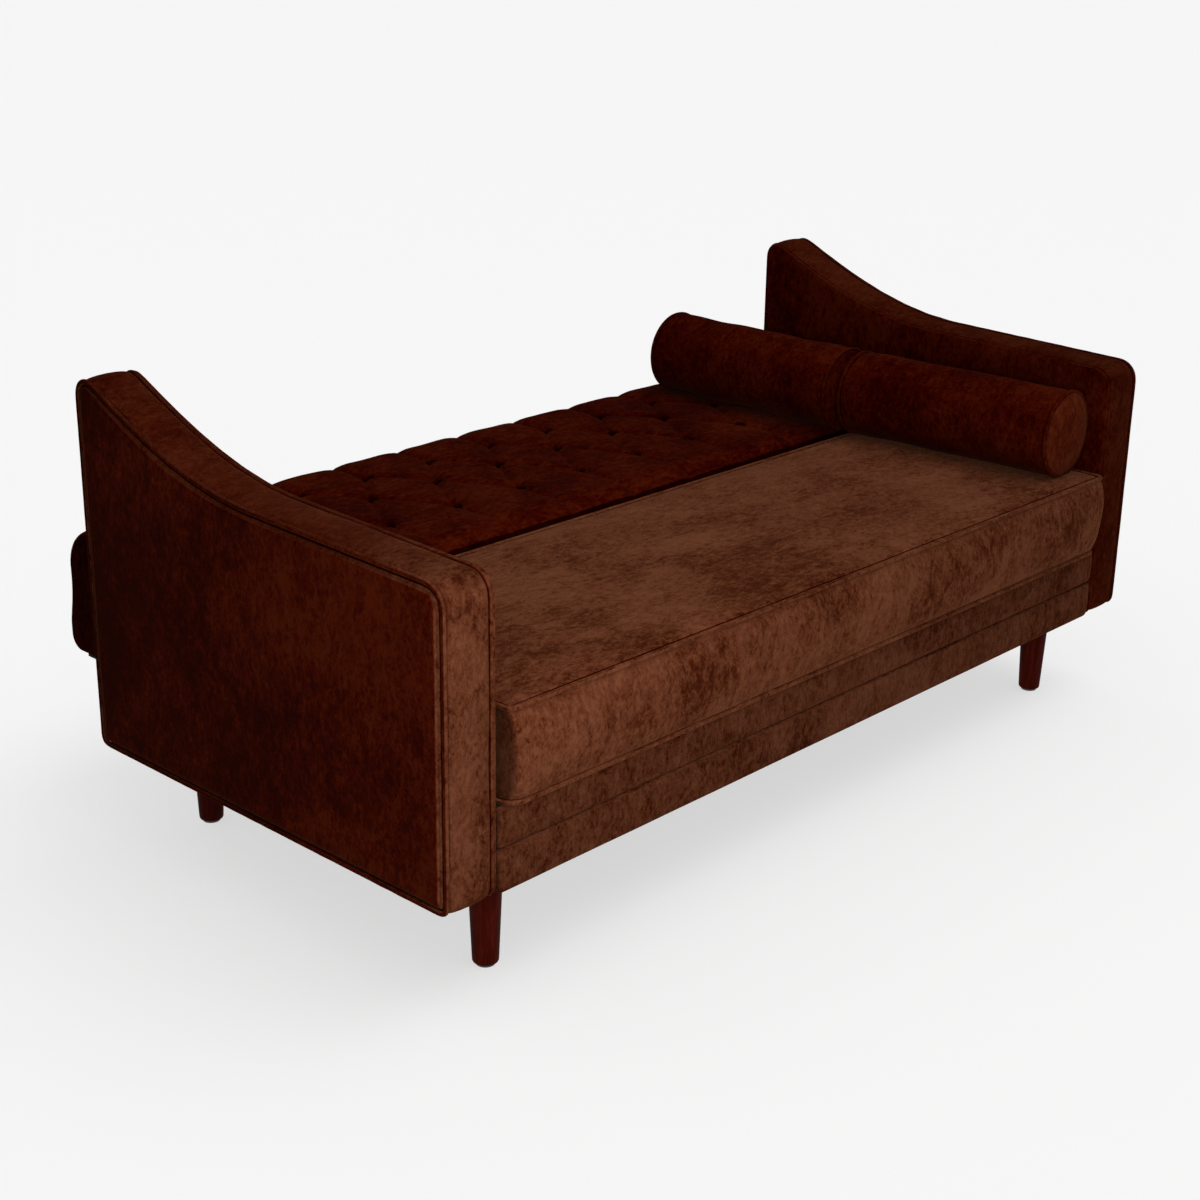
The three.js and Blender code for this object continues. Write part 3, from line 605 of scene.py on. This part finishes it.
# ---- bolsters ----
def bolster_axis(node):
    """Centre, unit direction towards the rear, length and radius of a bolster."""
    mesh = frame["nodes"][node].data
    points = np.array([v.co[:] for v in mesh.vertices])
    centre = (points.min(axis=0) + points.max(axis=0)) / 2
    spread = np.linalg.svd(points - points.mean(axis=0), full_matrices=False)[2]
    direction = spread[0] * np.sign(spread[0][1])
    along = (points - centre) @ direction
    across = np.linalg.norm(points - centre - np.outer(along, direction), axis=1)
    return centre, direction, along.max() - along.min(), across.max()


def make_bolster(name, cloth, cap_cloth, shade_cloth, seed):
    centre, direction, length, radius = bolster_axis(name)
    up = np.array([0.0, 0.0, 1.0])
    side = np.cross(direction, up)
    half = length / 2
    seam = half - BOLSTER_CAP
    angles = np.linspace(0, 2 * math.pi, 144, endpoint=False)
    circle = np.cos(angles)[:, None] * side + np.sin(angles)[:, None] * up

    def ring(along, size):
        """One loop of the cover: crimped by the gathers near a seam, flattened where it rests."""
        points = centre + direction * along + circle * size
        rng = np.random.default_rng(seed + (along > 0))
        crimp = sum(np.sin(angles * k + rng.uniform(0, 6.28)) for k in (19, 27, 36, 47)) / 4
        gather = math.exp(-max(seam - abs(along), 0) / 0.030) if abs(along) < seam else 0
        push = (0.0016 * ripple(points, 0.13, seed) + 0.0018 * gather * crimp) * (size / radius)
        points = points + circle * push[:, None]
        points[:, 2] = np.maximum(points[:, 2], centre[2] - radius + 0.0012)
        return points

    cap = [(half - (BOLSTER_CAP - 0.002) * q ** 2.6, radius * q)
           for q in (0.03, 0.15, 0.3, 0.45, 0.6, 0.72, 0.82, 0.89, 0.935, 0.957)]
    rings = [ring(-along, size) for along, size in cap]
    rings.append(ring(-seam, radius * 0.958))
    for along in np.linspace(-seam, seam, 81)[1:-1]:
        rim = 1 - 0.030 * math.exp(-(seam - abs(along)) / 0.010)
        rings.append(ring(along, radius * rim))
    rings.append(ring(seam, radius * 0.958))
    rings += [ring(along, size) for along, size in reversed(cap)]
    marks = np.zeros(len(rings) - 1, int)
    marks[:len(cap) - 1] = marks[1 - len(cap):] = 2
    # painted shade: the faces beside each seam get the near-black velvet that stands in for the shade in
    # the crease
    marks[len(cap) - 1:len(cap) + 1] = marks[-len(cap) - 1:1 - len(cap)] = 1
    piece = loft(f"{name}_cover", rings, cloth, others=[shade_cloth, cap_cloth], marks=marks)
    finish_piece(piece, name, [name])
    for label, along in (("front", -seam), ("rear", seam)):
        route = centre + direction * along + circle * (radius * 0.990)
        route[:, 2] = np.maximum(route[:, 2], centre[2] - radius + 0.005)
        welt = cord(f"{name}_{label}_welt", route, BOLSTER_PIPE, cloth)
        finish_piece(welt, name)


def bolster_underside(node, points):
    """The height of a bolster's lower surface above each point, or a large number beside it."""
    centre, direction, length, radius = bolster_axis(node)
    flat = points - centre
    along = flat @ direction
    across = np.abs(flat[:, 0] * direction[1] - flat[:, 1] * direction[0])
    under = (across < radius) & (np.abs(along) < length / 2)
    height = centre[2] - np.sqrt(np.maximum(radius ** 2 - across ** 2, 0))
    return np.where(under, np.maximum(height, centre[2] - radius + 0.0012), 10.0)


# ---- seat ----
def make_seat(cloth, shade_cloth):
    """The box cushion: a crowned top, a bulging front and a welt round both edges."""
    low, high = (np.array(c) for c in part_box("seat_piping_top"))
    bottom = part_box("seat_cushion")[0][2]
    top_z = high[2] - 0.004
    low_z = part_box("seat_piping_bottom")[0][2] + 0.004
    sides = (low[1] + PIPE, low[0] + PIPE, high[1] - PIPE, high[0] - PIPE)
    lower = bevelled_loop(*sides, 0.032)[:, ::-1]
    upper = bevelled_loop(*sides, 0.013, count=len(lower))[:, ::-1]
    middle_y = (low[1] + high[1]) / 2
    spine = ((low[0] + 0.29, middle_y), (high[0] - 0.29, middle_y))

    def plan(loop, inset, share, z):
        flat = loop + inward(loop) * inset
        if share:
            flat = spine_blend(flat, spine, share)
        return np.column_stack([flat, np.full(len(flat), z)])

    def crown(points):
        """Height of the filling above the piping, steep at the edges and nearly level inside."""
        hills = []
        for axis in (0, 1):
            edge = np.minimum(points[:, axis] - low[axis], high[axis] - points[:, axis])
            hills.append(1 - np.exp(-np.maximum(edge - 0.011, 0) / 0.040))
        return hills[0] * hills[1] * (SEAT_CROWN + 0.0015 * ripple(points, 0.26, 21))

    shares = np.linspace(0, 1, 44)[1:] ** 1.15
    rings = [plan(lower, 0.006, q, bottom + 0.001) for q in shares[::-1]]
    rings += [plan(lower, 0.006, 0, bottom + 0.001), plan(lower, 0.0055, 0, low_z - 0.002)]
    height = top_z - low_z
    wall = len(rings)
    for t in (0.0, 0.022, 0.04, 0.065, 0.1, 0.15, 0.21, 0.28, 0.36, 0.44, 0.52, 0.6, 0.68, 0.76, 0.83, 0.89,
              0.93, 0.957, 0.976, 1.0):
        loop = lower + (upper - lower) * smooth_step(t, 0.35, 0.95)
        facing = np.clip(inward(loop)[:, 1], 0, 1) ** 2
        swell = 1 - abs(2 * t - 1) ** 2.4
        ring = plan(loop, 0, 0, low_z + height * t)
        tuck = 0.0060 * math.exp(-height * min(t, 1 - t) / 0.0045)
        out = swell * (0.0015 + 0.0175 * facing + 0.0020 * facing * ripple(ring, 0.20, 31)) - tuck
        ring[:, :2] -= inward(loop) * out[:, None]
        rings.append(ring)
    top = len(rings)
    for inset, rise in ((0.0070, 0.0004), (0.0098, 0.0010), (0.0125, 0.0026), (0.018, 0.0032)):
        ring = plan(upper, inset, 0, top_z + rise)
        ring[:, 2] += crown(ring)
        rings.append(ring)
    for q in shares:
        ring = plan(upper, 0.018, q, top_z + 0.0032)
        ring[:, 2] += crown(ring)
        rings.append(ring)
    # painted shade: the faces just inside the bottom and top pipings get the darker velvet that stands in
    # for the shade in the creases there
    marks = np.zeros(len(rings) - 1, int)
    marks[wall - 1:wall + 2] = marks[top - 1:top + 1] = 1
    piece = loft("seat_cushion_cover", rings, cloth, others=[shade_cloth], marks=marks)
    soften_under_bolster(piece, "bolster_front", top_z)
    finish_piece(piece, "base", ["seat_cushion"])
    for label, loop, z in (("top", upper, top_z), ("bottom", lower, low_z)):
        route = np.column_stack([loop, np.full(len(loop), z)])
        welt = cord(f"seat_{label}_welt", route, PIPE, cloth)
        finish_piece(welt, "base", [f"seat_piping_{label}"])


def soften_under_bolster(piece, bolster, above):
    """Presses a cushion's top down where a bolster lies on it."""
    mesh = piece.data
    points = np.array([v.co[:] for v in mesh.vertices])
    limit = bolster_underside(bolster, points) - CUSHION_CLEARANCE
    pressed = (points[:, 2] > limit) & (points[:, 2] > above - 0.03)
    points[pressed, 2] = limit[pressed]
    mesh.vertices.foreach_set("co", points.ravel())
    mesh.update()


# ---- tufted back ----
def segment_distance(u, v, a, b):
    """Distance from each (u, v) to the segment from a to b."""
    du, dv = b[0] - a[0], b[1] - a[1]
    t = np.clip(((u - a[0]) * du + (v - a[1]) * dv) / (du * du + dv * dv), 0, 1)
    return np.hypot(u - a[0] - t * du, v - a[1] - t * dv)


def button_grid(low_x, high_x, nose):
    pitch = (high_x - low_x) / BUTTONS_PER_ROW
    rows = []
    for k, depth in enumerate(ROW_FROM_NOSE):
        count = BUTTONS_PER_ROW if k % 2 == 0 else BUTTONS_PER_ROW - 1
        start = low_x + pitch * (0.5 if k % 2 == 0 else 1.0)
        rows.append([(start + i * pitch, nose + depth) for i in range(count)])
    return pitch, rows


def tuft_depth(x, v, rows, pitch, front_edge, rear_edge):
    """How far the cover is drawn in at surface place (x, v), and how far the nearest button is."""
    lines = []
    for upper, lower in ((rows[0], rows[1]), (rows[2], rows[1])):
        for a in upper:
            lines += [(a, b) for b in lower if abs(a[0] - b[0]) < pitch * 0.6]
    ends = [(rows[0], front_edge), (rows[2], rear_edge)]
    near_line = np.full(x.shape, 1.0)
    for a, b in lines:
        near_line = np.minimum(near_line, segment_distance(x, v, a, b))
    near_run = np.full(x.shape, 1.0)
    for row, edge in ends:
        for a in row:
            near_run = np.minimum(near_run, segment_distance(x, v, a, (a[0], edge)))
    near_button = np.full(x.shape, 1.0)
    angle = np.zeros(x.shape)
    for row in rows:
        for a in row:
            distance = np.hypot(x - a[0], v - a[1])
            closer = distance < near_button
            angle = np.where(closer, np.arctan2(v - a[1], x - a[0]), angle)
            near_button = np.minimum(near_button, distance)
    near = np.minimum(near_line, near_run)
    pillow = 1 - np.sqrt(1 - (1 - np.clip(near / 0.050, 0, 1)) ** 2)
    strength = 0.40 + 0.60 * np.exp(-near_button / 0.040)
    to_rear = (near_run < near_line) & (v > rows[2][0][1])
    to_nose = (near_run < near_line) & (v < rows[0][0][1])
    strength = np.where(to_rear, np.maximum(strength, 0.95), np.where(to_nose, strength * 0.9, strength))
    depth = PUFF * strength * pillow
    depth += PLEAT_SINK * strength * np.exp(-(near / PLEAT_WIDTH) ** 2)
    depth += BUTTON_DEPTH * np.exp(-(near_button / WELL_RADIUS) ** 3)
    gathers = np.exp(-near_button / 0.040) * np.clip(near_button / 0.014, 0, 1)
    depth += 0.0013 * gathers * np.sin(angle * 11 + 2.3 * np.sin(x * 37) + 1.7 * np.sin(v * 29))
    creases = np.exp(-near / 0.016) * (0.5 + 0.5 * np.sin(x * 61 + v * 83))
    depth += 0.0008 * creases * np.sin(near * 2 * math.pi / 0.010)
    return depth, near_button


def make_back(cloth, shade_cloth):
    """The folding back: one skin round the filling and boards, tufted over its face."""
    low, high = (np.array(c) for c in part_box("back_cushion"))
    floor_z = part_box("back_front_roll")[0][2]
    nose = low[1]
    rear = high[1]
    loop, place = back_profile(low, high, floor_z)
    normals = inward(loop)
    face_top = high[2]
    pitch, rows = button_grid(low[0], high[0], nose)
    spine = ((nose + 0.12, (floor_z + face_top) / 2), (rear - 0.12, (floor_z + face_top) / 2))
    front_edge = nose - 0.10
    rear_edge = rear + 0.10
    on_face = smooth_step(loop[:, 1], floor_z + 0.05, floor_z + 0.13)
    count = int((high[0] - low[0]) / BACK_STEP)
    upward = np.clip(-normals[:, 1], 0, 1)
    end_share = 0.08 + 0.92 * on_face
    edge_rings = [(0.0, 0.018), (0.0010, 0.0125), (0.0030, 0.008), (0.006, 0.0045), (0.010, 0.002),
                  (0.015, 0.0006)]
    end_x = low[0] - 0.0012

    def end_ring(x, share):
        flat = spine_blend(loop + normals * (0.018 * end_share)[:, None], spine, share)
        return np.column_stack([np.full(len(flat), x), flat])

    rings = [end_ring(end_x, share) for share in BACK_END_SHARES]
    body = [(end_x + along, inset) for along, inset in edge_rings]
    inside = np.linspace(end_x + 0.020, -(end_x + 0.020), count)
    body += [(x, 0.0) for x in inside]
    body += [(-(end_x + along), inset) for along, inset in reversed(edge_rings)]
    # painted shadow: faces in the gap by the seat and in the pits round the buttons get the near-black
    # velvet that stands in for the shade there
    gap_shadow = (loop[:, 0] < nose + GAP_SHADE) & (loop[:, 1] > face_top - NOSE_RADIUS)
    shaded_faces = []
    for x, inset in body:
        depth, near_button = tuft_depth(np.full(len(loop), x), place, rows, pitch, front_edge, rear_edge)
        shaded_faces.append((near_button < 0.95 * WELL_RADIUS) & (on_face > 0.5) | gap_shadow)
        move = inset * end_share + on_face * depth - BACK_CROWN * upward
        flat = loop + normals * move[:, None]
        ring = np.column_stack([np.full(len(flat), x), flat])
        wobble = on_face * 0.0008 * ripple(ring, 0.09, 41)
        ring[:, 1:] += normals * wobble[:, None]
        rings.append(ring)
    rings += [end_ring(-end_x, share) for share in reversed(BACK_END_SHARES)]
    marks = np.zeros((len(rings) - 1, len(loop)), int)
    marks[len(BACK_END_SHARES):len(BACK_END_SHARES) + len(shaded_faces)] = shaded_faces
    piece = loft("back_cover", rings, cloth, others=[shade_cloth], marks=marks)
    soften_under_bolster(piece, "bolster_rear", face_top)
    finish_piece(piece, "back", ["back_cushion", "back_front_roll", "back_rear_roll"])
    make_buttons(rows, face_top + BACK_CROWN - PUFF - PLEAT_SINK - BUTTON_DEPTH, cloth)


def smooth_step(value, low, high):
    t = np.clip((value - low) / (high - low), 0, 1)
    return t * t * (3 - 2 * t)


def back_profile(low, high, floor_z):
    """The back's closed profile in (y, z), and each point's distance along the face as a y."""
    radii = (HEEL_RADIUS, REAR_RADIUS, NOSE_RADIUS, NOSE_RADIUS)
    loop = rounded_outline(low[1], floor_z + 0.0012, high[1], high[2], radii, BACK_STEP)
    along = np.concatenate([[0], np.cumsum(np.linalg.norm(np.diff(loop, axis=0), axis=1))])
    middle = (low[1] + high[1]) / 2
    crest = np.argmin(np.abs(loop[:, 0] - middle) + 10 * (loop[:, 1] < high[2] - 0.02))
    place = loop[crest, 0] - (along - along[crest])
    return loop, place


def make_buttons(rows, base_z, cloth):
    """Covered buttons, each a shallow dome with a rolled rim."""
    profile = [(0.0, 0.0052), (0.35, 0.0049), (0.62, 0.0040), (0.84, 0.0026), (0.97, 0.0006),
               (1.0, -0.0012), (0.9, -0.0030), (0.5, -0.0038)]
    angles = np.linspace(0, 2 * math.pi, 28, endpoint=False)
    made = []
    for row in rows:
        for x, y in row:
            rings = [[(x + BUTTON_RADIUS * max(r, 0.02) * math.cos(a),
                       y + BUTTON_RADIUS * max(r, 0.02) * math.sin(a),
                       base_z + 0.004 + z) for a in angles] for r, z in profile]
            made.append(loft("button", rings, cloth))
    buttons = join("tufting_buttons", made)
    finish_piece(buttons, "back")


# ---- rails, legs and the rest ----
def make_band(name, node, cloth, seed):
    """A padded strip along the front rail, with turned-in edges."""
    low, high = (np.array(c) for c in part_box(node))
    loop = bevelled_loop(low[1], low[2] + 0.0004, high[1], high[2] - 0.0004, 0.005, 0.0035)
    normals = inward(loop)
    front = np.clip(normals[:, 0], 0, 1)
    middle = 1 - (2 * (loop[:, 1] - low[2]) / (high[2] - low[2]) - 1) ** 4
    rings = []
    for x in np.linspace(low[0], high[0], 230):
        end = min(x - low[0], high[0] - x)
        inset = 0.0018 * math.exp(-end / 0.002)
        flat = loop + normals * inset
        ring = np.column_stack([np.full(len(flat), x), flat])
        swell = front * middle * (BAND_BULGE + 0.0010 * ripple(ring, 0.22, seed))
        ring[:, 1] -= swell
        rings.append(ring)
    piece = loft(name, rings, cloth)
    finish_piece(piece, "base", [node])


def make_leg(node, wood):
    low, high = (np.array(c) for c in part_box(node))
    x, y = (low[0] + high[0]) / 2, (low[1] + high[1]) / 2
    top_radius = (high[0] - low[0]) / 2
    foot = LEG_FOOT_RADIUS
    height = high[2] - low[2]
    profile = [(0.02, 0.0), (foot - 0.0035, 0.0), (foot - 0.001, 0.0008), (foot, 0.003)]
    profile += [(foot + (top_radius - foot) * t, height * t) for t in np.linspace(0.04, 0.985, 14)]
    profile += [(top_radius - 0.0006, height * 0.997), (top_radius - 0.002, height), (0.02, height)]
    angles = np.linspace(0, 2 * math.pi, 64, endpoint=False)
    rings = [[(x + r * math.cos(a), y + r * math.sin(a), low[2] + z) for a in angles] for r, z in profile]
    piece = loft(node + "_turned", rings, wood)
    finish_piece(piece, "base", [node])


def make_rail_cover(cloth):
    """Velvet pulled round the low rear rail, seen from behind."""
    low, high = (np.array(c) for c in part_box("base_rear_rail"))
    loop = bevelled_loop(low[1] - RAIL_COVER, low[2] - RAIL_COVER + 0.0006, high[1] + RAIL_COVER,
                         high[2] + RAIL_COVER, 0.006, 0.004)
    normals = inward(loop)
    rings = []
    for x in np.linspace(low[0] + 0.0004, high[0] - 0.0004, 200):
        end = min(x - low[0], high[0] - x)
        ring = np.column_stack([np.full(len(loop), x), loop + normals * 0.003 * math.exp(-end / 0.003)])
        ring[:, 1:] += normals * (0.0006 * ripple(ring, 0.2, 61))[:, None]
        rings.append(ring)
    piece = loft("rear_rail_cover", rings, cloth)
    finish_piece(piece, "base", ["base_rear_rail"])


def dress_cad_nodes(finishes):
    """Gives each CAD node the material of its slot, or black lining as painted shade on the boards that
    show in gaps.
    """
    slots = {row["node"]: row["material_slot"] for row in frame["record"]["subparts"]}
    for name, node in frame["nodes"].items():
        node.data.materials.clear()
        node.data.materials.append(finishes["lining" if name in BLACKED_FOR_SHADE else slots[name]])


make_camera()
studio = make_studio()
# painted shade: the seat's sides get a darker copy of its front colour
seat_velvet = velvet("velvet_seat", BROWN, side=tinted(BROWN, 0.45), sheen=0.08)
band_velvet = velvet("velvet_band", tinted(BROWN, 0.72), sheen=0.04)
# painted light and shade: each arm's front is lighter than its top and sides for light from the front, and
# the right arm's front is a darker copy of the left's for light falling off to the right
left_arm_velvet = velvet("velvet_left_arm", tinted(BROWN, 0.85), RUST, WINE, sheen=0.04, rear_shade=0.045)
right_arm_velvet = velvet("velvet_right_arm", tinted(RUST, 0.85), RUST, WINE, sheen=0.02)
# painted shade: the back's sides get a darker copy of its front colour
back_velvet = velvet("velvet_back", tinted(WINE, 1.15), side=tinted(WINE, 0.45), sheen=0.02)
bolster_velvet = velvet("velvet_bolster", tinted(WINE, 1.15), sheen=0.02)
cap_velvet = velvet("velvet_bolster_cap", tinted(RUST, 1.35), sheen=0.03)
# painted shade: darker velvets put on faces in creases, grooves and pits stand in for the shade there
painted_shade_velvet = velvet("velvet_painted_crease_shade", tinted(WINE, 0.30), sheen=0.0)
seat_painted_shade_velvet = velvet("velvet_painted_seat_crease_shade", tinted(RUST, 0.55), sheen=0.0)
finishes = {
    "velvet": back_velvet, "timber": raw_timber(), "leg_wood": lacquered_wood(), "webbing": webbing(),
    "lining": lining_cloth(), "hinge_steel": coated_steel(), "glide_plastic": moulded_plastic(),
}
dress_cad_nodes(finishes)
make_arm("left", -1, left_arm_velvet, painted_shade_velvet)
make_arm("right", 1, right_arm_velvet, painted_shade_velvet)
make_seat(seat_velvet, seat_painted_shade_velvet)
make_back(back_velvet, painted_shade_velvet)
make_bolster("bolster_front", bolster_velvet, cap_velvet, painted_shade_velvet, 71)
make_bolster("bolster_rear", bolster_velvet, bolster_velvet, painted_shade_velvet, 81)
make_band("front_band_lower_cover", "front_band_lower", band_velvet, 51)
make_band("front_band_upper_cover", "front_band_upper", band_velvet, 52)
make_rail_cover(right_arm_velvet)
for corner in ("front_left", "front_right", "rear_left", "rear_right"):
    make_leg(f"leg_{corner}", finishes["leg_wood"])

share_out_light(*studio)
